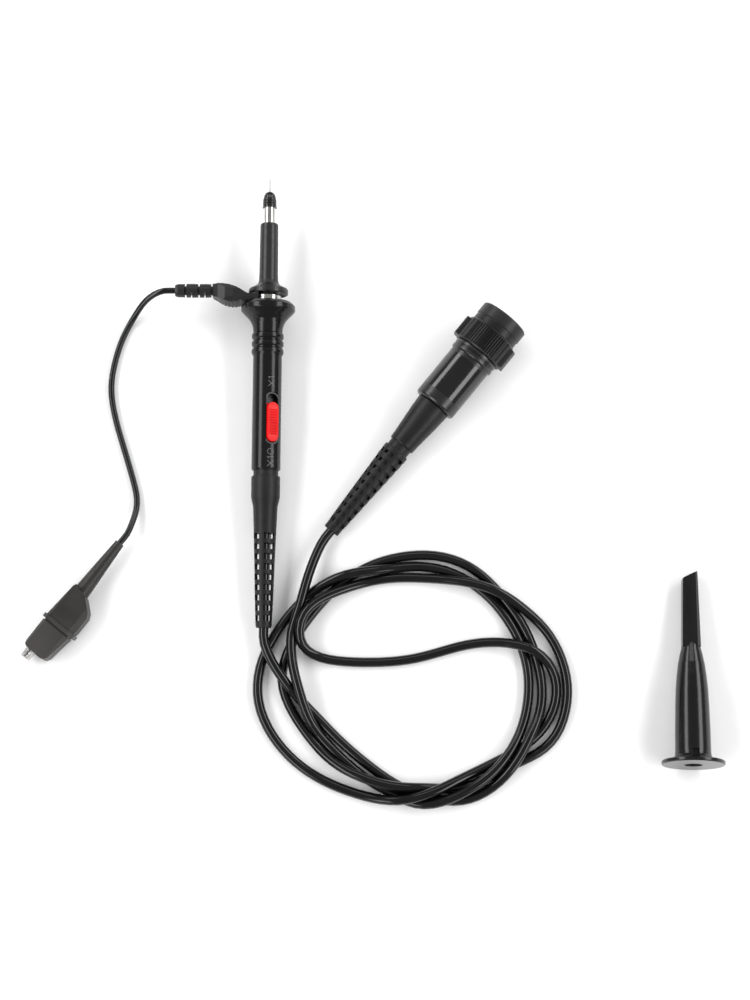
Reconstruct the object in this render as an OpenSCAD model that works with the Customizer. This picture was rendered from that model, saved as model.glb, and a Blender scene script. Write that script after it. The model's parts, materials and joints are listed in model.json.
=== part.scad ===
// Passive oscilloscope probe laid out on a flat surface (z = 0): probe body,
// cable, connector with compensation box, ground lead with clip, hook tip.
// Millimetres. +Y runs along the probe toward its tip, +Z is up.

/* [Probe body] */
// Outside diameter of the finger flange
flange_d = 19; // [18.4:0.1:19]
// Outside diameter of the handle barrel
barrel_d = 10.1; // [10:0.05:10.3]
// Diameter of the plated ground barrel behind the tip
ground_barrel_d = 4; // [3.96:0.01:4]
// Diameter of the tip needle
needle_d = 0.6; // [0.5:0.02:0.6]
// Travel of the X1 / X10 slide switch
switch_travel = 2.8; // [2:0.1:2.8]

/* [Cable] */
// Outside diameter of the coaxial cable
cable_d = 3.4; // [3:0.1:3.4]
// Outside diameter of the ground lead wire
lead_d = 2.2; // [1.8:0.1:2.2]

/* [Connector] */
// Outside diameter of the front collar of the coupling ring
collar_d = 18; // [17.6:0.1:18.2]
// Number of fine grooves in each knurled panel
knurl_count = 14; // [8:1:16]
// Outside diameter of the compensation box
box_d = 15.7; // [15.4:0.1:15.8]

/* [Hook tip] */
// Outside diameter of the finger flange of the hook tip
hook_flange_d = 21.4; // [20:0.2:21.4]
// Bore of the socket that grips the ground barrel
socket_d = 4.1; // [4.06:0.01:4.12]

/* [Hidden] */
$fn = 64;
cable_r = cable_d / 2;
lead_r = lead_d / 2;
flange_r = flange_d / 2;
barrel_r = barrel_d / 2;
gb_r = ground_barrel_d / 2;
needle_r = needle_d / 2;
box_r = box_d / 2;
collar_r = collar_d / 2;
switch_angle = -28;

// The four separate pieces each have their own frame on the surface.
// Probe and connector: local z runs from the front toward the cable.
probe_pos = [-61.3, 57, 9.6];
probe_rot = [92.6, 0, -0.4];
conn_pos = [22, 53, 10.5];
conn_rot = [93.95, 0, -39.3];
clip_pos = [-112.3, -26, 4.7];
clip_rot = [0, 0, 231];
hook_pos = [83.6, -102.6, 10.85];
hook_rot = [-96.9, 0, -1.6];
probe_end = 112.6;
conn_end = 96.6;

module at_probe() translate(probe_pos) rotate(probe_rot) children();
module at_conn() translate(conn_pos) rotate(conn_rot) children();
module at_clip() translate(clip_pos) rotate(clip_rot) children();
module at_hook() translate(hook_pos) rotate(hook_rot) children();

function turn_x(v, a) = [v[0], v[1]*cos(a) - v[2]*sin(a), v[1]*sin(a) + v[2]*cos(a)];
function turn_z(v, a) = [v[0]*cos(a) - v[1]*sin(a), v[0]*sin(a) + v[1]*cos(a), v[2]];
function placed(p, r, v) = p + turn_z(turn_x(v, r[0]), r[2]);
function unit(v) = v / norm(v);

// Ring z from a to b, outside radius ro, bore ri.
module ring(a, b, ro, ri) translate([0, 0, a]) difference() {
    cylinder(h = b - a, r = ro);
    translate([0, 0, -1]) cylinder(h = b - a + 2, r = ri);
}
module rod(a, b, r) translate([0, 0, a]) cylinder(h = b - a, r = r);
// Box with rounded ends along z, lying in the x-z plane, from y0 to y1.
module stadium(a, b, w, y0, y1) translate([0, y1, 0]) rotate([90, 0, 0])
    linear_extrude(y1 - y0) union() {
        translate([-w/2, a + w/2]) square([w, b - a - w]);
        translate([0, a + w/2]) circle(d = w);
        translate([0, b - w/2]) circle(d = w);
    }

// Round tube swept along points; t0 and t1 set the end planes.
function tangent(p, i, t0, t1) = i == 0 ? t0 : i == len(p) - 1 ? t1 : unit(unit(p[i + 1] - p[i]) + unit(p[i] - p[i - 1]));
function ring_points(c, t, r, n) = let (s = unit(cross(t, [0, 0, 1])), u = cross(s, t))
    [for (k = [0:n - 1]) let (a = 360 * (k + 0.5) / n) c + r * (cos(a) * s + sin(a) * u)];
module tube(p, r, n, t0, t1) {
    m = len(p);
    points = [for (i = [0:m - 1]) for (q = ring_points(p[i], tangent(p, i, t0, t1), r, n)) q];
    sides = [for (i = [0:m - 2]) for (k = [0:n - 1]) let (k2 = (k + 1) % n)
        each [[i*n + k, i*n + k2, (i + 1)*n + k2], [i*n + k, (i + 1)*n + k2, (i + 1)*n + k]]];
    polyhedron(points = points, faces = concat([[for (k = [n - 1:-1:0]) k]], sides,
        [[for (k = [0:n - 1]) (m - 1)*n + k]]), convexity = 10);
}
// Helix along z as a tube.
module coil(a, b, r, wire, turns, n, steps) {
    count = turns * steps;
    p = [for (i = [0:count]) [r * cos(360 * i / steps), r * sin(360 * i / steps), a + (b - a) * i / count]];
    pitch = (b - a) / turns;
    function tang(i) = unit([-sin(360 * i / steps), cos(360 * i / steps), pitch / (2 * PI * r)]);
    points = [for (i = [0:count]) for (q = ring_points(p[i], tang(i), wire, n)) q];
    sides = [for (i = [0:count - 1]) for (k = [0:n - 1]) let (k2 = (k + 1) % n)
        each [[i*n + k, i*n + k2, (i + 1)*n + k2], [i*n + k, (i + 1)*n + k2, (i + 1)*n + k]]];
    polyhedron(points = points, faces = concat([[for (k = [n - 1:-1:0]) k]], sides,
        [[for (k = [0:n - 1]) count*n + k]]), convexity = 10);
}

// ---------------------------------------------------------------- probe body
module probe_housing() color([0.05, 0.05, 0.055]) at_probe() difference() {
    rotate_extrude() polygon([
        [0, -1.62], [flange_r - 1.2, -1.62], [flange_r - 0.25, -0.7], [flange_r, -0.3], [flange_r, 1.2],
        [flange_r - 0.2, 1.5], [8.3, 2.6], [7.2, 3.7], [6.3, 4.8], [5.7, 5.9], [5.35, 7], [5.2, 8.1],
        [5.2, 9.3], [5.55, 9.7], [5.65, 10.4], [5.55, 11.1], [5.1, 11.6],
        [5.1, 12.0], [5.55, 12.4], [5.65, 13.1], [5.55, 13.8], [5.1, 14.3],
        [5.1, 14.7], [5.55, 15.1], [5.65, 15.8], [5.55, 16.5], [5.2, 17.1],
        [barrel_r, 17.6], [barrel_r, 57.4], [barrel_r - 0.3, 57.9], [0, 57.9]]);
    rod(-2, 4.01, 3);
    rod(4, 58, 3.75);
    // switch slot through the wall with a shallow recess round it
    rotate([0, 0, switch_angle]) {
        stadium(31.3, 48.7, 4.5, 2, 8);
        stadium(30.8, 49.2, 5.5, barrel_r - 0.55, 8);
    }
}
module ground_barrel() color([0.8, 0.79, 0.76]) at_probe() difference() {
    union() {
        rod(-37.5, 3, gb_r);
        rod(-4.1, 3, 3);
    }
    rod(-38, 4, 1.5);
}
module tip_insulator() color([0.92, 0.92, 0.9]) at_probe() ring(-37.5, 2.6, 1.5, needle_r);
module tip_needle() color([0.75, 0.75, 0.74]) at_probe() union() {
    rod(-46.2, 5, needle_r);
    translate([0, 0, -46.9]) cylinder(h = 0.7, r1 = 0.08, r2 = needle_r);
}
module tip_resistor() color([0.35, 0.55, 0.7]) at_probe() union() {
    rod(5, 6.2, 0.28);
    rotate_extrude() polygon([[0, 6.2], [1.15, 6.2], [1.4, 6.6], [1.4, 7.8], [1.2, 8.1], [1.2, 12.9], [1.4, 13.2], [1.4, 14.4], [1.15, 14.8], [0, 14.8]]);
    rod(14.8, 19.5, 0.28);
}
module switch_board() color([0.08, 0.35, 0.2]) at_probe() rotate([0, 0, switch_angle])
    translate([-3.55, -0.6, 19.5]) cube([7.1, 1.2, 29.5]);
module board_parts() color([0.55, 0.5, 0.42]) at_probe() rotate([0, 0, switch_angle]) union() {
    for (z = [22, 26, 30, 35]) translate([-1, -1.4, z]) cube([2, 0.8, 1.25]);
    translate([-1.8, -2, 39]) cube([3.6, 1.4, 4.5]);
    translate([-0.8, -1.5, 45]) cube([1.6, 0.9, 0.8]);
}
module switch_pads() color([0.83, 0.68, 0.3]) at_probe() rotate([0, 0, switch_angle]) union() {
    for (z = [33.6, 38.3, 43]) for (x = [-1.9, 0.7]) translate([x, 0.6, z]) cube([1.2, 0.08, 3]);
}
module cable_ferrule() color([0.72, 0.66, 0.45]) at_probe() ring(50, 56, 2.6, cable_r);
module probe_cable_end() color([0.03, 0.03, 0.03]) at_probe() rod(49.6, probe_end, cable_r);

boot_row_pitch = 3.55;
// One row of n windows through a boot to the cable, first one at angle a, half width w, from z up.
module windows(n, a, w, z, h) translate([0, 0, z]) linear_extrude(h)
    polygon([for (k = [0:n - 1]) let (b = a + 360 * k / n, c = b + 180 / n, r = w / sin(180 / n))
        each [[7 * cos(b) + w * sin(b), 7 * sin(b) - w * cos(b)], [7 * cos(b) - w * sin(b), 7 * sin(b) + w * cos(b)], [r * cos(c), r * sin(c)]]]);
module probe_boot() color([0.09, 0.09, 0.095]) at_probe() difference() {
    rotate_extrude() polygon([
        [cable_r, 56.2], [3.75, 56.2], [3.75, 57.9], [4.3, 57.9], [4.3, 60], [4.85, 60], [5, 60.25], [5, 67.3], [4.9, 67.8],
        [4.25, 70.8], [3.97, 77.8], [3.56, 89.2], [3.17, 102.9], [2.8, 111.9], [2.6, probe_end], [cable_r, probe_end]]);
    for (i = [0:8]) windows(4, 60, 0.51 * (3.9 - i * boot_row_pitch * 0.034), 79.9 + boot_row_pitch * i, 2.1);
}

// Sliding switch: button, foot under the wall that shuts the slot, and wiping contact.
module switch_button() color([0.85, 0.06, 0.08]) at_probe() rotate([0, 0, switch_angle]) difference() {
    union() {
        stadium(34.5, 48.3, 4.1, 2.3, 5.45);
        translate([-2.7, 2, 34.4]) cube([5.4, 0.3, 14]);
    }
    // ribs in the middle of the button, inside a smooth rim
    for (i = [0:9]) translate([-1.25, 5.1, 36.9 + 0.95 * i]) cube([2.5, 1, 0.45]);
}
// Black shutter under the foot: it covers the slot ahead of and behind the button.
module switch_shutter() color([0.05, 0.05, 0.055]) at_probe() rotate([0, 0, switch_angle])
    translate([-2.7, 1.7, 29.2]) cube([5.4, 0.3, 20.6]);
module switch_contact() color([0.85, 0.72, 0.35]) at_probe() rotate([0, 0, switch_angle]) union() {
    translate([-1.8, 1.4, 38]) cube([3.6, 0.3, 5]);
    for (x = [-1.7, 0.9]) translate([x, 0.78, 39.8]) cube([0.8, 0.62, 1.6]);
}

// Insulating sleeve on the ground barrel, and the cap over the barrel mouth.
module tip_sleeve() color([0.1, 0.1, 0.105]) at_probe() rotate_extrude() polygon([
        [gb_r + 0.05, -30.1], [2.9, -30.3], [3.15, -30], [3.2, -29.5], [3.3, -12], [3.4, -9.6], [3.8, -8.5], [4.6, -7.8], [5.8, -7.1],
        [6.6, -6.7], [6.9, -6.3], [6.95, -5.4], [6.8, -4.8], [6.4, -4.7], [5.6, -5.1], [4.4, -5.5], [3.6, -5.4], [3.3, -4.9], [3.3, -4.2], [gb_r + 0.05, -4.2]]);
module tip_cap() color([0.06, 0.06, 0.06]) at_probe() difference() {
    rotate_extrude() polygon([
        [0, -42.1], [0.9, -41.95], [1.6, -41.4], [2.05, -40.5], [2.25, -39.6], [2.2, -39.4], [2.4, -39.1], [2.4, -38.7], [2.25, -38.5],
        [2.45, -38.2], [2.45, -37.8], [2.28, -37.6], [2.45, -37.3], [2.45, -37], [2.35, -36.8], [2.55, -36.6], [2.6, -36.2], [0, -36.2]]);
    rod(-37.6, -35, gb_r + 0.04);
    rod(-43, -36, needle_r + 0.06);
}

// ---------------------------------------------------------------- ground lead
module ground_ring() color([0.86, 0.85, 0.82]) at_probe() ring(-3.9, -1.74, 4.6, 3.06);
paddle_plan = [[-19.5, -7.9], [-16, -7.9], [-13.5, -7.5], [-11, -6.5], [-8.8, -5.1], [-7.3, -4.2], [-5.8, -3.95], [-3.2, -3.9],
    [-3.2, -1.76], [-9.9, -1.76], [-10.7, -1.2], [-13.5, -1.1], [-16, -1.9], [-18, -3], [-19.5, -3.6]];
paddle_side = [[-19.5, -2.4], [-17.6, -4], [-15, -5.2], [-12, -5.6], [-8.5, -5.6], [-5.5, -5.3], [-3.2, -4.9],
    [-3.2, 4.9], [-5.5, 5.3], [-8.5, 5.6], [-12, 5.6], [-15, 5.2], [-17.6, 4], [-19.5, 2.4]];
paddle_round = [[-3.4, -8.6], [3.4, -8.6], [5.6, -5.8], [5.6, -3.2], [4.4, -0.9], [-4.4, -0.9], [-5.6, -3.2], [-5.6, -5.8]];
module ground_paddle() color([0.07, 0.07, 0.075]) at_probe() difference() {
    intersection() {
        // plan outline seen from above, in x and z
        translate([0, 8, 0]) rotate([90, 0, 0]) linear_extrude(16) polygon(paddle_plan);
        // side outline in x and y
        translate([0, 0, -12]) linear_extrude(14) polygon(paddle_side);
        // rounded section seen along x
        translate([-20, 0, 0]) rotate([90, 0, 90]) linear_extrude(18) polygon(paddle_round);
    }
    rod(-4.5, 0, 4.6);
    for (i = [0:5]) translate([-17.6 + 1.3 * i, -7, -1.5 - max(0, 0.95 - 0.32 * i)]) cube([0.5, 14, 2]);
}
relief_end = -32.8;
relief_z = -6;
module lead_relief() color([0.08, 0.08, 0.085]) at_probe() translate([-19.5, 0, relief_z]) rotate([0, -90, 0])
    difference() {
        rotate_extrude() polygon([[0, 0], [1.6, 0], [1.6, 0.7], [2.35, 0.7], [2.45, 2.6], [2.4, 4.6], [1.6, 4.6], [1.6, 5.3], [2.4, 5.3], [2.5, 7.2],
            [2.45, 9.3], [1.6, 9.3], [1.6, 10], [2.4, 10], [2.35, 12.4], [2, 13.3], [0, 13.3]]);
        // half slots on the side toward the clip
        for (s = [2.6, 7.3]) translate([1.2, -3, s]) cube([2, 6, 0.6]);
    }
lead_route = [[-104, 61, 7.4], [-109, 56, 4], [-113, 49, 1.8], [-116, 39, 1.2], [-117, 29, 1.2], [-115, 18, 1.2],
    [-112, 8, 1.2], [-109, -2, 1.2], [-107, -12, 1.8]];
// Both cords leave their ends straight for this far before the route begins.
lead_straight = 4;
cable_straight = 4.5;
lead_start = placed(probe_pos, probe_rot, [relief_end, 0, relief_z]);
lead_first = placed(probe_pos, probe_rot, [relief_end - lead_straight, 0, relief_z]);
lead_last = placed(clip_pos, clip_rot, [-lead_straight, 0, 0]);
lead_start_dir = placed([0, 0, 0], probe_rot, [-1, 0, 0]);
lead_end_dir = [cos(clip_rot[2]), sin(clip_rot[2]), 0];
module lead_wire() color([0.04, 0.04, 0.04])
    tube(concat([lead_start, lead_first], lead_route, [lead_last, clip_pos]), lead_r, 8, lead_start_dir, lead_end_dir);

// Alligator clip: x along the clip, y to the lever side, z up.
// Section with bevelled corners: c on the straight side, cy by cz on the lever side.
module outline_x(a, b, y0, y1, h, c, cy, cz) translate([a, 0, 0]) rotate([90, 0, 90]) linear_extrude(b - a)
    polygon([[y0, -h + c], [y0 + c, -h], [y1 - cy, -h], [y1, -h + cz], [y1, h - cz], [y1 - cy, h], [y0 + c, h], [y0, h - c]]);
module clip_boot() color([0.12, 0.12, 0.125]) at_clip() difference() {
    union() {
        rotate([0, 90, 2.3]) cylinder(h = 23, r1 = 1.65, r2 = 3);
        intersection() {
            translate([0, 0, -5]) linear_extrude(10) polygon([[20.4, -1.6], [21.6, -2.1], [34.8, -3], [34.8, 8.7], [33, 8.9], [27.2, 8.8], [25.4, 7.8], [21.9, 3.6]]);
            outline_x(20, 35, -3.2, 9, 4.2, 1.3, 2.2, 1.2);
        }
        outline_x(34.4, 35.8, -3.7, 9.4, 4.65, 1.5, 2.3, 1.3);
        // neck of the groove ahead of the rim
        outline_x(35.6, 36.7, -2.45, 7.8, 3.7, 0.6, 1.2, 0.4);
        intersection() {
            translate([0, 0, -5]) linear_extrude(10) polygon([[36.5, -2.87], [45.8, -2.5], [46.9, -2], [47.4, -1], [47.6, 5.2], [47.2, 6.3], [46.1, 7.1], [36.5, 8.28]]);
            outline_x(36.4, 48, -3, 8.6, 4, 1.2, 2.1, 1.1);
        }
    }
    translate([0, 0, -3.3]) linear_extrude(6.6) polygon([[25.6, -1.55], [36, -2], [48, -1.8], [48, 6], [36, 7.4], [27.6, 7.8], [24.8, 4.6], [24.4, 1.6]]);
    translate([14, 0.6, 0]) rotate([0, 90, 0]) cylinder(h = 14, r = 1.2);
}
pin_x = 30;
pin_y = 0.6;
module clip_jaw_fixed() color([0.82, 0.81, 0.78]) at_clip() difference() {
    union() {
        translate([14, pin_y, 0]) rotate([0, 90, 0]) cylinder(h = 12.8, r = 1.2);
        // back plate, drawn in to a narrow nose
        translate([0, 0, -2.6]) linear_extrude(5.2)
            polygon([[26.4, -1.5], [45.6, -1.5], [47.4, -0.9], [50.8, -0.8], [50.8, -0.4], [47.3, -0.5], [45.5, -1.1], [26.4, -1.1]]);
        for (s = [-1, 1]) translate([0, 0, s > 0 ? 2.2 : -2.6]) linear_extrude(0.4)
            polygon([[26.4, -1.3], [45.6, -1.3], [47.4, -0.7], [50.8, -0.6], [50.8, -0.1], [34, 0.1], [32, 1.9], [28, 1.9], [26.4, 0.6]]);
        translate([50.2, -0.8, -2.6]) cube([0.6, 1.2, 5.2]);
        translate([26.4, -1.3, -1.1]) cube([0.5, 3, 2.2]);
        for (i = [0:3]) for (s = [-1, 1]) translate([49.2 - 1.4 * i, -0.6, s > 0 ? 2.2 : -2.6]) cube([0.6, 0.9, 0.4]);
    }
    translate([pin_x, pin_y, -4]) cylinder(h = 8, r = 0.8);
}
module clip_pin() color([0.78, 0.77, 0.74]) at_clip() union() {
    translate([pin_x, pin_y, -2.9]) cylinder(h = 5.8, r = 0.8);
    for (s = [-1, 1]) translate([pin_x, pin_y, s > 0 ? 2.6 : -3]) cylinder(h = 0.4, r = 1.2);
}
module clip_spring() color([0.7, 0.7, 0.72]) at_clip() translate([pin_x, pin_y, 0]) coil(-1.1, 1.1, 1.25, 0.18, 4, 6, 12);
module clip_jaw_moving() color([0.82, 0.81, 0.78]) at_clip() difference() {
    union() {
        translate([0, 0, -2.1]) linear_extrude(4.2)
            polygon([[31.5, 2.3], [45.5, 2.3], [47.3, 1.6], [50.8, 1.5], [50.8, 1.9], [47.4, 2], [45.6, 2.7], [31.5, 2.7]]);
        for (s = [-1, 1]) translate([0, 0, s > 0 ? 1.7 : -2.1]) linear_extrude(0.4)
            polygon([[28.4, -0.3], [31.6, -0.3], [34, 1.1], [50.8, 1.3], [50.8, 1.7], [47.3, 1.8], [45.6, 2.5], [30.2, 2.7], [28, 3.4]]);
        // lever pressed through the side of the boot
        translate([0, 0, -2.1]) linear_extrude(4.2) polygon([[31.7, 2.3], [31.7, 2.7], [30.4, 3.1], [26.9, 5.6], [26.5, 5.3], [30.2, 2.6]]);
        translate([50.2, 0.7, -2.1]) cube([0.6, 1.2, 4.2]);
        for (i = [0:3]) for (s = [-1, 1]) translate([49.2 - 1.4 * i, 0.8, s > 0 ? 1.7 : -2.1]) cube([0.6, 0.8, 0.4]);
    }
    translate([pin_x, pin_y, -4]) cylinder(h = 8, r = 0.86);
}

// ---------------------------------------------------------------- cable
route = [[-58,-69,5],[-51,-78,4],[-42,-88,1.8],[-30,-99,1.8],[-16,-109,1.8],[-2,-114,1.8],[10,-113,2.5],[21,-105,5.2],
    [28,-95,5],[33,-84,3],[33,-71,1.8],[29,-58,1.8],[21,-45,1.8],[9,-34,1.8],[-5,-30,1.8],[-20,-32,1.8],[-34,-39,1.8],[-45,-50,1.8],
    [-53,-62,1.8],[-55,-75,1.8],[-50,-87,1.8],[-40,-99,4.6],[-28,-106,5.2],[-16,-110,5.4],[-4,-110,3.6],[9,-109,1.8],[21,-103,1.8],
    [35,-96,1.8],[41,-85,1.8],[42,-72,1.8],[36,-57,2],[27,-49,4.8],[18,-43,5.2],[6,-39,5],[-7,-38,1.8],[-20,-38,1.8],[-32,-41,5],
    [-43,-46,8.2],[-50,-53,9],[-50,-60,8.8],[-43,-65,5.2],[-29,-67,1.8],[-11,-66,1.8],[9,-61,1.8],[23,-61,5],[33,-65,5],
    [38,-73,2.2],[37,-84,1.8],[29,-94,1.8],[20,-100,1.8],[10,-105,2.8],[-3,-111,6.6],[-16,-114,6],[-29,-112,2.4],
    [-42,-107,1.8],[-53,-99,1.8],[-61,-88,1.8],[-64,-76,1.8],[-61,-63,1.8],[-54,-52,1.8],[-44,-42,1.8],[-32,-37,4.8],[-20,-35,5],
    [-6,-34,1.8],[8,-39,1.8],[19,-48,1.8],[26,-60,1.8],[29,-72,1.8],[28,-84,1.8],[24,-95,4.6],[16,-105,5.4],[5,-112,5.2],
    [-7,-115,5],[-19,-111,1.8],[-31,-104,1.8],[-41,-94,2.6],[-47,-84,6],[-51,-74,7.3],[-52,-63,6.2],[-50,-51,5],[-47,-38,5]];
cable_start = placed(probe_pos, probe_rot, [0, 0, probe_end]);
cable_first = placed(probe_pos, probe_rot, [0, 0, probe_end + cable_straight]);
cable_last = placed(conn_pos, conn_rot, [0, 0, conn_end + cable_straight]);
cable_stop = placed(conn_pos, conn_rot, [0, 0, conn_end]);
module main_cable() color([0.03, 0.03, 0.03])
    tube(concat([cable_start, cable_first], route, [cable_last, cable_stop]), cable_r, 8,
        placed([0, 0, 0], probe_rot, [0, 0, 1]), -placed([0, 0, 0], conn_rot, [0, 0, 1]));

// ---------------------------------------------------------------- connector
// V groove of the knurl, w across its flank.
module groove(w) translate([9.5, 0, 7.6]) rotate([0, 0, 45]) translate([-w / 2, -w / 2, 0]) cube([w, w, 7.6]);
module coupling_sleeve() color([0.1, 0.1, 0.11]) at_conn() difference() {
    union() {
        rotate_extrude() polygon([[0, 0], [collar_r - 0.4, 0], [collar_r, 0.4], [collar_r, 4.2], [collar_r - 0.2, 4.4], [8.75, 4.5], [8.75, 6.9],
            [9.2, 7.1], [9.5, 7.5], [9.5, 15.3], [9.2, 15.8], [0, 15.8]]);
        // grip wings on two sides
        for (s = [0, 180]) rotate([0, 0, s]) intersection() {
            translate([8.6, -3.4, 8]) cube([2.2, 6.8, 7.2]);
            rod(7, 16, 10.75);
        }
    }
    rod(-1, 2.05, 7.9);
    rod(2, 9.45, 7.2);
    rod(9.4, 12.6, 6.9);
    rod(12, 17, 5.56);
    for (s = [0, 180]) rotate([0, 0, s]) for (i = [0:knurl_count - 1])
        rotate([0, 0, 90 + (i - (knurl_count - 1) / 2) * 5.6]) groove(0.56);
    for (s = [0, 180]) rotate([0, 0, s]) for (a = [-52, 52]) rotate([0, 0, 90 + a]) groove(0.45);
}
module bayonet_ring() color([0.8, 0.79, 0.76]) at_conn() difference() {
    ring(2.05, 9.4, 7.2, 4.95);
    for (s = [0, 180]) rotate([0, 0, s]) {
        translate([4, -1.15, 1]) cube([1.9, 2.3, 3.4]);
        for (i = [0:5]) rotate([0, 0, 13 * i]) translate([4, -1.15, 2.6 + 0.55 * i]) cube([1.9, 2.3, 2.3]);
    }
}
module outer_contact() color([0.82, 0.81, 0.78]) at_conn() difference() {
    union() {
        rod(1.4, 9.8, 4.05);
        // flange that holds the coupling sleeve on, through the washer
        rod(9.7, 11.8, 6.6);
        rod(11.8, 18.6, 5.5);
    }
    rod(1, 19, 3.4);
    for (a = [45, 135]) rotate([0, 0, a]) translate([-5, -0.25, 1]) cube([10, 0.5, 6]);
}
module contact_gasket() color([0.55, 0.2, 0.12]) at_conn() ring(9, 9.7, 4.85, 4.05);
module wave_washer() color([0.7, 0.7, 0.7]) at_conn() ring(11.9, 12.5, 6.7, 5.5);
module contact_insulator() color([0.93, 0.93, 0.91]) at_conn() difference() {
    rod(5.8, 18.6, 3.4);
    rod(5, 9.2, 2.4);
    rod(5, 19, 0.68);
}
module centre_pin() color([0.86, 0.72, 0.36]) at_conn() union() {
    rod(3.4, 19.6, 0.68);
    translate([0, 0, 2.8]) cylinder(h = 0.6, r1 = 0.35, r2 = 0.68);
}
module comp_box() color([0.09, 0.09, 0.1]) at_conn() difference() {
    rotate_extrude() polygon([[0, 16], [8.2, 16], [8.4, 16.2], [8.4, 17.2], [8.1, 17.45], [8.1, 17.75], [8.4, 18], [8.4, 19], [8.2, 19.3], [box_r, 19.5],
        [box_r, 39], [box_r - 0.25, 39.5], [box_r - 0.8, 39.8], [0, 39.8]]);
    rod(15, 18.62, 5.5);
    rod(18.6, 38.2, 6.7);
    rod(38, 41, 5.4);
    translate([0, -5, 29]) rotate([90, 0, 0]) cylinder(h = 5, r = 1.9);
}
module box_label() color([0.02, 0.02, 0.02]) at_conn() difference() {
    ring(20.9, 35.6, box_r + 0.06, box_r);
    translate([-9, -9, 20]) cube([18, 5.5, 17]);
}
module comp_board() color([0.08, 0.35, 0.2]) at_conn() translate([-6, 0.75, 20]) cube([12, 1.2, 12.5]);
module comp_parts() color([0.3, 0.3, 0.32]) at_conn() union() {
    translate([-4.6, 1.95, 21.5]) cube([2, 1.2, 3.4]);
    translate([-1.2, 1.95, 22]) cube([3, 1.5, 3]);
    translate([2.6, 1.95, 27]) cube([1.7, 1, 3.2]);
    translate([-3.9, 1.95, 27.8]) cube([4.2, 1.8, 4.2]);
    translate([3.6, -0.75, 22]) cube([1.5, 1.5, 2.6]);
}
module trimmer_body() color([0.85, 0.8, 0.6]) at_conn() translate([0, 0.75, 29]) rotate([90, 0, 0]) difference() {
    cylinder(h = 3.6, r = 2.7);
    translate([0, 0, 1.2]) cylinder(h = 4, r = 1.6);
}
module trimmer_screw() color([0.84, 0.7, 0.34]) at_conn() translate([0, 0.75, 29]) rotate([90, 0, 0]) difference() {
    translate([0, 0, 1.26]) cylinder(h = 2.9, r = 1.54);
    translate([-2, -0.25, 3.4]) cube([4, 0.5, 2]);
}
module box_ferrule() color([0.72, 0.66, 0.45]) at_conn() ring(33, 37.4, 2.6, cable_r) ;
module box_cable_end() color([0.03, 0.03, 0.03]) at_conn() rod(32.6, conn_end, cable_r);
module cone_gland() color([0.1, 0.1, 0.1]) at_conn() rotate_extrude() polygon([
    [cable_r, 37.8], [5.4, 37.8], [5.4, 39.8], [5.8, 39.8], [6.15, 40.2], [5.95, 44], [5.6, 48], [5.2, 52], [4.9, 55.5], [4.75, 57.5], [4.55, 57.9],
    [cable_r, 57.9]]);
module conn_boot() color([0.09, 0.09, 0.095]) at_conn() difference() {
    rotate_extrude() polygon([[cable_r, 57.9], [4.1, 57.9], [4.1, 60.4], [4.55, 60.4], [4.75, 60.7], [4.7, 63], [3.1, 93.4], [2.95, 94], [2.95, 96.3], [2.75, conn_end],
        [cable_r, conn_end]]);
    // these windows are blind: a core that tapers with the boot stays behind them
    for (i = [0:9]) difference() {
        windows(6, 103, 0.38 * (4.7 - i * 0.17), 62.4 + 3.32 * i, 1.4);
        rod(60 + 3.32 * i, 66 + 3.32 * i, 3.78 - 0.129 * i);
    }
}

// ---------------------------------------------------------------- hook tip
hook_nose = [[-3.15, 40.5], [-2.6, 64.6], [2.5, 67.3], [3.15, 40.5]];
module nose_side(w0, w1) translate([0, 5, 0]) rotate([90, 0, 0]) linear_extrude(10)
    polygon([[-w0, 40.5], [-w1, 68], [w1, 68], [w0, 40.5]]);
module hook_shell() color([0.05, 0.05, 0.055]) at_hook() difference() {
    union() {
        rotate_extrude() polygon([[0, 0], [hook_flange_d/2 - 0.3, 0], [hook_flange_d/2, 0.3], [hook_flange_d/2, 1.1], [hook_flange_d/2 - 0.4, 1.4], [7.6, 1.8], [6.6, 2.3], [6.2, 3.2],
            [6.05, 4.4], [5.95, 12], [5.75, 20], [5.5, 26], [5.1, 30.5], [4.55, 34.8], [3.9, 38], [3.3, 40.4], [3, 42], [2.6, 43], [0, 43]]);
        intersection() {
            translate([0, 5, 0]) rotate([90, 0, 0]) linear_extrude(10) polygon(hook_nose);
            rotate([0, 0, 90]) nose_side(3.05, 2.45);
            rotate([0, 0, 45]) nose_side(3.5, 2.95);
            rotate([0, 0, -45]) nose_side(3.5, 2.95);
        }
    }
    rod(-1, 18.02, 3.06);
    rod(18, 31, 4.2);
    rod(30, 43, 1.7);
    translate([-1.55, -0.75, 42]) cube([3.1, 1.5, 30]);
    // small moulding pocket behind the flange
    translate([-1.1, -7, 2.4]) cube([2.3, 2.3, 2.4]);
}
module hook_core() color([0.1, 0.1, 0.1]) at_hook() difference() {
    union() {
        rod(0.4, 20, 3);
        rod(18.06, 20, 4.12);
        rod(20, 36, 1.6);
    }
    rod(0, 18, 2.4);
}
module hook_socket() color([0.82, 0.8, 0.74]) at_hook() ring(0.4, 18, 2.4, socket_d/2);
module hook_wire() color([0.84, 0.83, 0.8]) at_hook() union() {
    rod(36, 65.2, 0.4);
    translate([0, 0, 65.2]) sphere(r = 0.4);
    translate([0, 0, 65.2]) rotate([0, 90, 0]) cylinder(h = 1, r = 0.4);
    translate([1, 0, 65.2]) sphere(r = 0.4);
    translate([1, 0, 63.8]) cylinder(h = 1.4, r = 0.4);
}
module hook_spring() color([0.72, 0.72, 0.74]) at_hook() coil(20.5, 29.5, 3.1, 0.34, 5, 6, 14);

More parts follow.
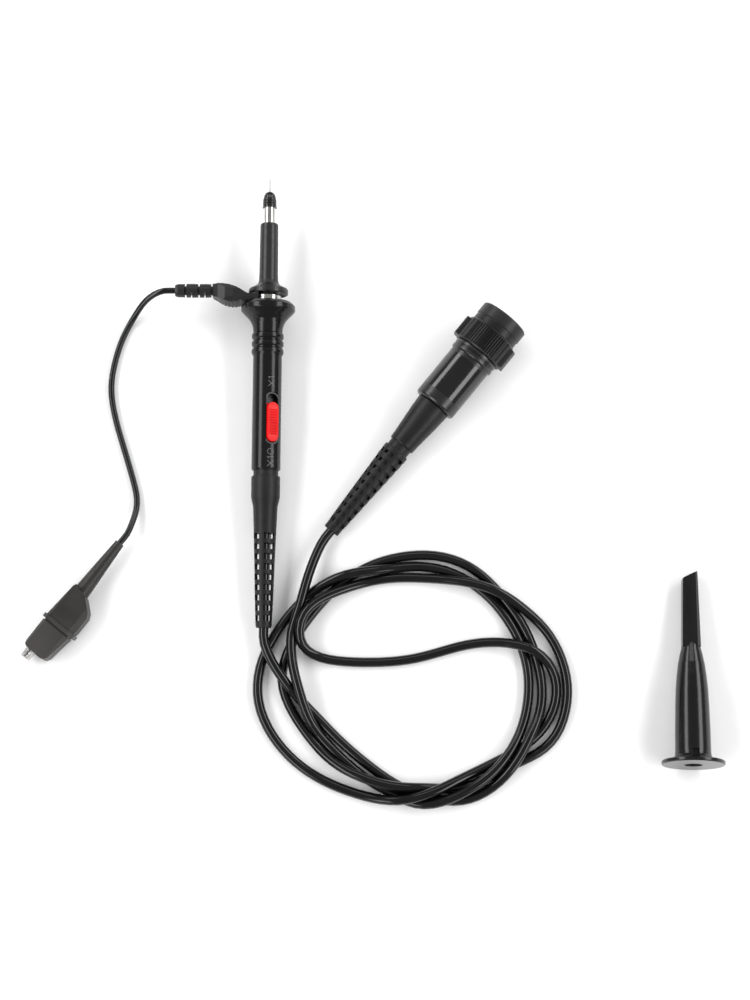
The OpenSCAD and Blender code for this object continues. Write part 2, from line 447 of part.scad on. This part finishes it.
probe_housing();
ground_barrel();
tip_insulator();
tip_needle();
tip_resistor();
switch_board();
board_parts();
switch_pads();
cable_ferrule();
probe_cable_end();
probe_boot();
switch_button();
switch_shutter();
switch_contact();
tip_sleeve();
tip_cap();
ground_ring();
ground_paddle();
lead_relief();
lead_wire();
clip_boot();
clip_jaw_fixed();
clip_pin();
clip_spring();
clip_jaw_moving();
main_cable();
coupling_sleeve();
bayonet_ring();
outer_contact();
contact_gasket();
wave_washer();
contact_insulator();
centre_pin();
comp_box();
box_label();
comp_board();
comp_parts();
trimmer_body();
trimmer_screw();
box_ferrule();
box_cable_end();
cone_gland();
conn_boot();
hook_shell();
hook_core();
hook_socket();
hook_wire();
hook_spring();
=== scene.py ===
import json
import math

import bmesh
import bpy
import numpy as np
from mathutils import Matrix, Vector


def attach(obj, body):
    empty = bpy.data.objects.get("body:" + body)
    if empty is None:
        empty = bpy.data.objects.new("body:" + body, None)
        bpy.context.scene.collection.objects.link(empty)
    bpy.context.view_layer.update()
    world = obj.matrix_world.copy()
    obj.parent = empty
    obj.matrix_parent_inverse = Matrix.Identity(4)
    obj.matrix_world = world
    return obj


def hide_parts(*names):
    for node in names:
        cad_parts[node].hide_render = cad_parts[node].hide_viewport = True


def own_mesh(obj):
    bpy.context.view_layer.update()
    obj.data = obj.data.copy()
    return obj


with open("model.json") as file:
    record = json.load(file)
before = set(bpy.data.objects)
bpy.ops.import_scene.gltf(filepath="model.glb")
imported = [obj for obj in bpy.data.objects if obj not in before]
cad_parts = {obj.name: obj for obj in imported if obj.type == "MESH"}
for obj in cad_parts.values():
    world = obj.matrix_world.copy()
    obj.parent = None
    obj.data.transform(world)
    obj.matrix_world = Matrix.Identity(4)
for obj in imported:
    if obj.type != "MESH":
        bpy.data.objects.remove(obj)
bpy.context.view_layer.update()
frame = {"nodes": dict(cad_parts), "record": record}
NODES = frame["nodes"]

# ------------------------------------------------------------------ placements
PROBE = ((-61.3, 57.0, 9.6), (92.6, -0.4))
CONN = ((22.0, 53.0, 10.5), (93.95, -39.3))
CLIP = ((-112.3, -26.0, 4.7), (0.0, 231.0))
HOOK = ((83.6, -102.6, 10.85), (-96.9, -1.6))


def turn(where, v):
    a, b = math.radians(where[1][0]), math.radians(where[1][1])
    x, y, z = v
    y, z = y * math.cos(a) - z * math.sin(a), y * math.sin(a) + z * math.cos(a)
    return np.array([x * math.cos(b) - y * math.sin(b), x * math.sin(b) + y * math.cos(b), z])


def place(where, v):
    return (np.array(where[0]) + turn(where, v)) / 1000.0


# ------------------------------------------------------------------ camera
cam_data = bpy.data.cameras.new("camera")
cam_data.sensor_width = 36.0
cam_data.lens = 68.4
cam = bpy.data.objects.new("camera", cam_data)
cam.location = (-0.0237, -0.1258, 0.6568)
cam.rotation_euler = (math.radians(10), 0, 0)
bpy.context.scene.collection.objects.link(cam)
bpy.context.scene.camera = cam

# ------------------------------------------------------------------ cords
# The same route points as the CAD tube, in millimetres here and metres below.
CABLE = [(-58, -69, 5), (-51, -78, 4), (-42, -88, 1.8), (-30, -99, 1.8), (-16, -109, 1.8), (-2, -114, 1.8),
    (10, -113, 2.5), (21, -105, 5.2), (28, -95, 5), (33, -84, 3), (33, -71, 1.8), (29, -58, 1.8), (21, -45, 1.8), (9, -34, 1.8),
    (-5, -30, 1.8), (-20, -32, 1.8), (-34, -39, 1.8), (-45, -50, 1.8), (-53, -62, 1.8), (-55, -75, 1.8), (-50, -87, 1.8),
    (-40, -99, 4.6), (-28, -106, 5.2), (-16, -110, 5.4), (-4, -110, 3.6), (9, -109, 1.8), (21, -103, 1.8), (35, -96, 1.8),
    (41, -85, 1.8), (42, -72, 1.8), (36, -57, 2), (27, -49, 4.8), (18, -43, 5.2), (6, -39, 5), (-7, -38, 1.8), (-20, -38, 1.8),
    (-32, -41, 5), (-43, -46, 8.2), (-50, -53, 9), (-50, -60, 8.8), (-43, -65, 5.2), (-29, -67, 1.8), (-11, -66, 1.8),
    (9, -61, 1.8), (23, -61, 5), (33, -65, 5), (38, -73, 2.2), (37, -84, 1.8), (29, -94, 1.8), (20, -100, 1.8), (10, -105, 2.8),
    (-3, -111, 6.6), (-16, -114, 6), (-29, -112, 2.4), (-42, -107, 1.8), (-53, -99, 1.8), (-61, -88, 1.8), (-64, -76, 1.8),
    (-61, -63, 1.8), (-54, -52, 1.8), (-44, -42, 1.8), (-32, -37, 4.8), (-20, -35, 5), (-6, -34, 1.8), (8, -39, 1.8),
    (19, -48, 1.8), (26, -60, 1.8), (29, -72, 1.8), (28, -84, 1.8), (24, -95, 4.6), (16, -105, 5.4), (5, -112, 5.2),
    (-7, -115, 5), (-19, -111, 1.8), (-31, -104, 1.8), (-41, -94, 2.6), (-47, -84, 6), (-51, -74, 7.3), (-52, -63, 6.2),
    (-50, -51, 5), (-47, -38, 5)]
LEAD = [(-104, 61, 7.4), (-109, 56, 4), (-113, 49, 1.8), (-116, 39, 1.2), (-117, 29, 1.2), (-115, 18, 1.2),
    (-112, 8, 1.2), (-109, -2, 1.2), (-107, -12, 1.8)]


def smooth_line(points, step):
    p = np.array(points, float)
    ext = np.vstack([2 * p[0] - p[1], p, 2 * p[-1] - p[-2]])
    out = []
    for i in range(1, len(ext) - 2):
        a, b, c, d = ext[i - 1:i + 3]
        for k in range(16):
            t = k / 16
            out.append(0.5 * (2 * b + (c - a) * t + (2 * a - 5 * b + 4 * c - d) * t * t + (3 * b - a - 3 * c + d) * t ** 3))
    out.append(ext[-2])
    out = np.array(out)
    s = np.r_[0, np.cumsum(np.linalg.norm(np.diff(out, axis=0), axis=1))]
    n = int(round(s[-1] / step)) + 1
    return np.column_stack([np.interp(np.linspace(0, s[-1], n), s, out[:, k]) for k in range(3)])


def settle(points, start_dir, end_dir, radius, step, rounds):
    """Lets the line lie down on the surface and on itself, the strands a diameter apart."""
    p = smooth_line(points, step)
    home, n = p.copy(), len(p)
    i, j = np.triu_indices(n, k=int(math.ceil(4.5 * radius * 2 / step)))
    over = np.sign(home[i, 2] - home[j, 2])
    over[over == 0] = 1
    ends = {0: p[0], 1: p[0] + step * start_dir, n - 1: p[-1], n - 2: p[-1] + step * end_dir}
    gap = 2 * radius * 1.03
    # the first stretch keeps to the route, which leaves each end straight
    near_end = 0.5 * np.exp(-np.minimum(np.arange(n), np.arange(n)[::-1]) / 2.5)[:, None]
    for r in range(rounds):
        last = r > rounds * 0.8
        # out and back again, so that kinks go but the loops don't shrink
        for amount in (0.5, -0.52):
            bend = np.zeros_like(p)
            bend[1:-1] = (p[:-2] + p[2:]) / 2 - p[1:-1]
            p = p + bend * amount
        p[:, :2] += (home[:, :2] - p[:, :2]) * (0.01 if last else 0.03)
        p += (home - p) * near_end
        if not last:
            p[:, 2] -= 0.03
        for _ in range(4):
            d = p[i] - p[j]
            dist = np.linalg.norm(d, axis=1)
            near = dist < gap
            if near.any():
                a, b, w = i[near], j[near], d[near]
                w[:, 2] = np.where(np.abs(w[:, 2]) < 1.2, over[near] * 1.2, w[:, 2])
                w[:, :2] *= 0.55
                w /= np.linalg.norm(w, axis=1)[:, None]
                push = w * ((gap - dist[near]) * 0.35)[:, None]
                np.add.at(p, a, push)
                np.add.at(p, b, -push)
            p[:, 2] = np.maximum(p[:, 2], radius + 0.02)
        for k, q in ends.items():
            p[k] = q
    return p


def report(name, p, radius, step):
    """Prints what the settled line measures, so that a fault can be seen."""
    i, j = np.triu_indices(len(p), k=int(math.ceil(4.5 * radius * 2 / step)))
    apart = np.linalg.norm(p[i] - p[j], axis=1).min()
    a, b = p[1:-1] - p[:-2], p[2:] - p[1:-1]
    la, lb = np.linalg.norm(a, axis=1), np.linalg.norm(b, axis=1)
    angle = np.arccos(np.clip((a * b).sum(1) / la / lb, -1, 1))
    bend = (la + lb) / 2 / np.maximum(angle, 1e-6)
    print("%s: length %.1f mm, closest strands %.2f mm, lowest centre %.2f mm, tightest bend %.1f mm at point %d of %d"
          % (name, line_length(p), apart, p[:, 2].min(), bend.min(), bend.argmin() + 1, len(p)))


def line_length(p):
    return float(np.linalg.norm(np.diff(p, axis=0), axis=1).sum())


def wire(name, p, radius):
    curve = bpy.data.curves.new(name, "CURVE")
    curve.dimensions = "3D"
    curve.bevel_depth = radius
    curve.bevel_resolution = 6
    curve.use_fill_caps = True
    spline = curve.splines.new("POLY")
    spline.points.add(len(p) - 1)
    for q, v in zip(spline.points, p):
        q.co = (v[0], v[1], v[2], 1)
    spline.use_smooth = True
    line = bpy.data.objects.new(name + "_line", curve)
    bpy.context.scene.collection.objects.link(line)
    bpy.context.view_layer.update()
    # as a mesh, because a curve's own box is padded by its point radius
    mesh = bpy.data.meshes.new_from_object(line.evaluated_get(bpy.context.evaluated_depsgraph_get()))
    bpy.data.objects.remove(line)
    bpy.data.curves.remove(curve)
    mesh.name = name
    mesh.polygons.foreach_set("use_smooth", [len(f.vertices) == 4 for f in mesh.polygons])
    o = bpy.data.objects.new(name, mesh)
    bpy.context.scene.collection.objects.link(o)
    return o


# each end leaves straight, 4.5 mm for the cable and 4 mm for the ground wire
head = [place(PROBE, (0, 0, 112.6 + d)) * 1000 for d in (0, 4.5)]
tail = [place(CONN, (0, 0, 96.6 + d)) * 1000 for d in (4.5, 0)]
cable_line = settle(head + CABLE + tail, turn(PROBE, (0, 0, 1)), turn(CONN, (0, 0, 1)), 1.7, 3.0, 500) / 1000
cable = wire("cable", cable_line, 0.0017)
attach(cable, "probe")
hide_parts("main_cable")

head = [place(PROBE, (-32.8 - d, 0, -6)) * 1000 for d in (0, 4)]
tail = [place(CLIP, (-d, 0, 0)) * 1000 for d in (4, 0)]
lead_line = settle(head + LEAD + tail, turn(PROBE, (-1, 0, 0)), -turn(CLIP, (1, 0, 0)), 1.1, 2.0, 160) / 1000
report("cable", cable_line * 1000, 1.7, 3.0)
report("ground wire", lead_line * 1000, 1.1, 2.0)
lead = wire("ground_wire", lead_line, 0.0011)
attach(lead, "ground_lead")
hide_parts("lead_wire")


# ------------------------------------------------------------------ materials
def material(name, dark, light, rough, metallic=0.0, grain=900.0, bump=0.05, spread=0.08, stretch=(1, 1, 1),
             coat=0.0, wear_and_edge_highlight=None, speck=0.0, specular=0.5):
    """Colour and gloss vary with fine noise; bump gives the moulded or drawn surface."""
    m = bpy.data.materials.new(name)
    m.use_nodes = True
    m.diffuse_color = (*light, 1)
    t = m.node_tree
    t.nodes.clear()
    out = t.nodes.new("ShaderNodeOutputMaterial")
    s = t.nodes.new("ShaderNodeBsdfPrincipled")
    t.links.new(s.outputs[0], out.inputs[0])
    s.inputs["Metallic"].default_value = metallic
    s.inputs["Specular IOR Level"].default_value = specular
    s.inputs["Coat Weight"].default_value = coat
    s.inputs["Coat Roughness"].default_value = 0.08
    co = t.nodes.new("ShaderNodeTexCoord")
    mp = t.nodes.new("ShaderNodeMapping")
    mp.inputs["Scale"].default_value = stretch
    t.links.new(co.outputs["Object"], mp.inputs["Vector"])
    fine = t.nodes.new("ShaderNodeTexNoise")
    fine.inputs["Scale"].default_value = grain
    fine.inputs["Detail"].default_value = 4
    broad = t.nodes.new("ShaderNodeTexNoise")
    broad.inputs["Scale"].default_value = 90
    broad.inputs["Detail"].default_value = 3
    for n in (fine, broad):
        t.links.new(mp.outputs[0], n.inputs["Vector"])
    ramp = t.nodes.new("ShaderNodeValToRGB")
    ramp.color_ramp.elements[0].position, ramp.color_ramp.elements[1].position = 0.35, 0.68
    ramp.color_ramp.elements[0].color, ramp.color_ramp.elements[1].color = (*dark, 1), (*light, 1)
    t.links.new(broad.outputs["Fac"], ramp.inputs[0])
    colour = ramp.outputs[0]
    # Convex edges, found by Pointiness, take a lighter colour: partly edge wear, partly a painted highlight along the
    # edges.
    if wear_and_edge_highlight:
        geo = t.nodes.new("ShaderNodeNewGeometry")
        edge = t.nodes.new("ShaderNodeMapRange")
        edge.inputs[1].default_value, edge.inputs[2].default_value = 0.53, 0.62
        edge.inputs[4].default_value = 0.55
        t.links.new(geo.outputs["Pointiness"], edge.inputs[0])
        mix = t.nodes.new("ShaderNodeMix")
        mix.data_type = "RGBA"
        t.links.new(edge.outputs[0], mix.inputs["Factor"])
        t.links.new(colour, mix.inputs[6])
        mix.inputs[7].default_value = (*wear_and_edge_highlight, 1)
        colour = mix.outputs[2]
    t.links.new(colour, s.inputs["Base Color"])
    gloss = t.nodes.new("ShaderNodeMapRange")
    gloss.inputs[1].default_value, gloss.inputs[2].default_value = 0.3, 0.7
    gloss.inputs[3].default_value, gloss.inputs[4].default_value = max(0.02, rough - spread), rough + spread
    t.links.new(fine.outputs["Fac"], gloss.inputs[0])
    t.links.new(gloss.outputs[0], s.inputs["Roughness"])
    b = t.nodes.new("ShaderNodeBump")
    b.inputs["Strength"].default_value = bump
    b.inputs["Distance"].default_value = 0.0002
    t.links.new(fine.outputs["Fac"], b.inputs["Height"])
    t.links.new(b.outputs[0], s.inputs["Normal"])
    return m


def grey(v, tint=(1, 1, 1)):
    return tuple(v * k for k in tint)


# The lighter edge colours given to several materials, the light pink rim of the red button among them, are partly edge
# wear and partly a painted highlight along convex edges.
MATS = {
    "housing_black": material("housing_black", grey(.0025), grey(.0045), .19, bump=.025, grain=2200, spread=.04, wear_and_edge_highlight=grey(.012), specular=.32),
    "nickel": material("nickel", (.46, .45, .43), (.7, .69, .66), .12, 1.0, grain=1500, bump=.02, spread=.05),
    "ptfe": material("ptfe", (.76, .75, .71), (.86, .85, .82), .5, grain=1500, bump=.04),
    "needle_steel": material("needle_steel", (.42, .42, .43), (.62, .62, .62), .25, 1.0, stretch=(1, 5, 1), bump=.05),
    "resistor": material("resistor", (.12, .25, .42), (.2, .36, .55), .35),
    "pcb_green": material("pcb_green", (.01, .09, .04), (.02, .14, .06), .35, grain=1800),
    "chip_parts": material("chip_parts", (.14, .11, .07), (.34, .28, .2), .5, grain=1400),
    "gold": material("gold", (.62, .44, .16), (.83, .63, .28), .25, 1.0, grain=900, bump=.04),
    "ferrule": material("ferrule", (.45, .36, .16), (.65, .54, .28), .35, 1.0, grain=900, bump=.08),
    "cable_black": material("cable_black", grey(.003), grey(.005), .1, grain=2600, bump=.02, spread=.03, specular=.4),
    "boot_rubber": material("boot_rubber", grey(.006), grey(.01), .46, grain=3200, bump=.14, spread=.1, specular=.28),
    "button_red": material("button_red", (.66, .004, .005), (.8, .008, .009), .42, grain=2400, bump=.05, wear_and_edge_highlight=(.9, .12, .11), specular=.12),
    "sleeve_black": material("sleeve_black", grey(.007), grey(.012), .34, grain=2600, bump=.06, specular=.45),
    "cap_black": material("cap_black", grey(.003), grey(.006), .22, grain=2600, bump=.06),
    "lead_pvc": material("lead_pvc", grey(.006), grey(.01), .4, grain=2800, bump=.1, specular=.4),
    "lead_wire_black": material("lead_wire_black", grey(.003), grey(.005), .14, grain=2600, bump=.02, spread=.04, specular=.36),
    "clip_pvc": material("clip_pvc", (.012, .011, .0105), (.021, .019, .0175), .44, grain=2400, bump=.16, wear_and_edge_highlight=(.05, .046, .042), specular=.4),
    "jaw_nickel": material("jaw_nickel", (.62, .61, .59), (.84, .83, .8), .36, 1.0, grain=1400, bump=.05, spread=.1),
    "spring_steel": material("spring_steel", (.36, .36, .37), (.56, .56, .57), .3, 1.0),
    "coupling_black": material("coupling_black", grey(.006), grey(.01), .36, grain=3000, bump=.1, wear_and_edge_highlight=grey(.05), specular=.28),
    "gasket_red": material("gasket_red", (.32, .07, .03), (.42, .1, .05), .55),
    "box_black": material("box_black", grey(.006), grey(.01), .28, grain=2600, bump=.05, wear_and_edge_highlight=grey(.035)),
    "label_black": material("label_black", grey(.002), grey(.004), .14, grain=900, bump=.01, spread=.04, coat=.2),
    "trimmer": material("trimmer", (.6, .52, .32), (.76, .68, .46), .5),
    "gland_black": material("gland_black", grey(.005), grey(.008), .42, grain=3000, bump=.12, specular=.28),
    "hook_black": material("hook_black", grey(.0025), grey(.004), .19, grain=2200, bump=.025, spread=.03, wear_and_edge_highlight=grey(.014), specular=.4),
    "core_black": material("core_black", grey(.008), grey(.014), .45),
}
for row in frame["record"]["subparts"]:
    o = NODES[row["node"]]
    m = MATS[row["material_slot"]]
    if o.material_slots:
        for k in range(len(o.material_slots)):
            o.material_slots[k].material = m
    else:
        o.data.materials.append(m)
cable.data.materials.append(MATS["cable_black"])
lead.data.materials.append(MATS["lead_wire_black"])

# ------------------------------------------------------------------ hook tip's spring
# Wound closer at its ends. In the real hook tip it shortens as the shell is drawn back; here it keeps one length.
helix = []
for k in range(6 * 28 + 1):
    t = k / (6 * 28)
    a = 2 * math.pi * 6 * t
    helix.append(place(HOOK, (3.1 * math.cos(a), 3.1 * math.sin(a), 20.5 + 9 * (t - 0.08 * math.sin(2 * math.pi * t)))))
spring = wire("hook_coil", helix, 0.00033)
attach(spring, "hook_base")
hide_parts("hook_spring")
spring.data.materials.append(MATS["spring_steel"])
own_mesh(spring)

# ------------------------------------------------------------------ range marks
# Raised X1 and X10 on the barrel at each end of the switch, read toward the tip.
MARK_AT = math.radians(-21)
BARREL = 5.05


def on_barrel(s, across, r):
    a = MARK_AT + math.pi / 2 - across / BARREL
    return place(PROBE, (r * math.cos(a), r * math.sin(a), s))


def strokes_of(text, s0, size):
    """Centre lines of the characters as (along the barrel, across it), from s0 toward the tip."""
    lines, s = [], 0.0
    for c in text:
        w = size * (0.88 if c != "1" else 0.44)
        h = size / 2
        if c == "X":
            lines += [[(s, -h), (s + w, h)], [(s, h), (s + w, -h)]]
        elif c == "1":
            lines += [[(s + w * .15, h * .55), (s + w * .7, h), (s + w * .7, -h)]]
        else:
            lines += [[(s + w / 2 + w / 2 * math.cos(2 * math.pi * k / 20), h * math.sin(2 * math.pi * k / 20)) for k in range(21)]]
        s += w + size * 0.28
    return [[(s0 - p, -q) for p, q in line] for line in lines]


def marks(name, text, s0, size, pen=0.17, height=0.09):
    bm = bmesh.new()
    for line in strokes_of(text, s0, size):
        for (s1, t1), (s2, t2) in zip(line, line[1:]):
            d = np.array([s2 - s1, t2 - t1])
            length = np.linalg.norm(d)
            d = d / length
            side = np.array([-d[1], d[0]]) * pen
            steps = max(1, int(length / 0.4))
            rows = []
            for k in range(steps + 1):
                c = np.array([s1, t1]) + d * (length * k / steps + (-pen * .5 if k == 0 else pen * .5 if k == steps else 0))
                row = []
                for sgn, r in ((-1, BARREL - .03), (-.8, BARREL + height), (.8, BARREL + height), (1, BARREL - .03)):
                    q = c + side * sgn
                    row.append(bm.verts.new(on_barrel(q[0], q[1], r)))
                rows.append(row)
            for a, b in zip(rows, rows[1:]):
                for k in range(4):
                    bm.faces.new((a[k], a[(k + 1) % 4], b[(k + 1) % 4], b[k]))
            bm.faces.new(rows[0][::-1])
            bm.faces.new(rows[-1])
    bmesh.ops.recalc_face_normals(bm, faces=bm.faces)
    me = bpy.data.meshes.new(name)
    bm.to_mesh(me)
    bm.free()
    o = bpy.data.objects.new(name, me)
    bpy.context.scene.collection.objects.link(o)
    me.materials.append(material(name, grey(.05), grey(.085), .45, grain=2400, bump=.08))
    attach(o, "probe")
    return o


marks("mark_x1", "X1", 28.8, 2.2)
marks("mark_x10", "X10", 56.9, 2.2)

# ------------------------------------------------------------------ floor and light
floor_mesh = bpy.data.meshes.new("floor")
floor_mesh.from_pydata([(-3, -3, 0), (3, -3, 0), (3, 3, 0), (-3, 3, 0)], [], [(0, 1, 2, 3)])
floor = bpy.data.objects.new("floor", floor_mesh)
bpy.context.scene.collection.objects.link(floor)
floor_mesh.materials.append(material("floor", (.93, .93, .93), (.95, .95, .95), .8, grain=300, bump=.0, specular=.1))

world = bpy.data.worlds.new("studio")
bpy.context.scene.world = world
world.use_nodes = True
world.node_tree.nodes["Background"].inputs[0].default_value = (1, 1, 1, 1)
world.node_tree.nodes["Background"].inputs[1].default_value = 0.36
bpy.context.scene.view_settings.view_transform = "Standard"


def softbox(name, loc, aim, size, power):
    data = bpy.data.lights.new(name, "AREA")
    data.shape = "RECTANGLE"
    data.size, data.size_y = size
    data.energy = power
    o = bpy.data.objects.new(name, data)
    o.location = loc
    o.rotation_euler = (Vector(aim) - Vector(loc)).to_track_quat("-Z", "Y").to_euler()
    bpy.context.scene.collection.objects.link(o)


# long in y, so that each round piece shows a thin highlight along each side
softbox("box_left", (-0.8, 0.0, 0.68), (-0.02, 0.0, 0), (2.4, 0.4), 15)
softbox("box_right", (0.8, 0.0, 0.68), (-0.02, 0.0, 0), (2.4, 0.4), 15)
softbox("front", (0.0, 0.95, 1.0), (0, 0, 0), (0.9, 0.3), 2.2)
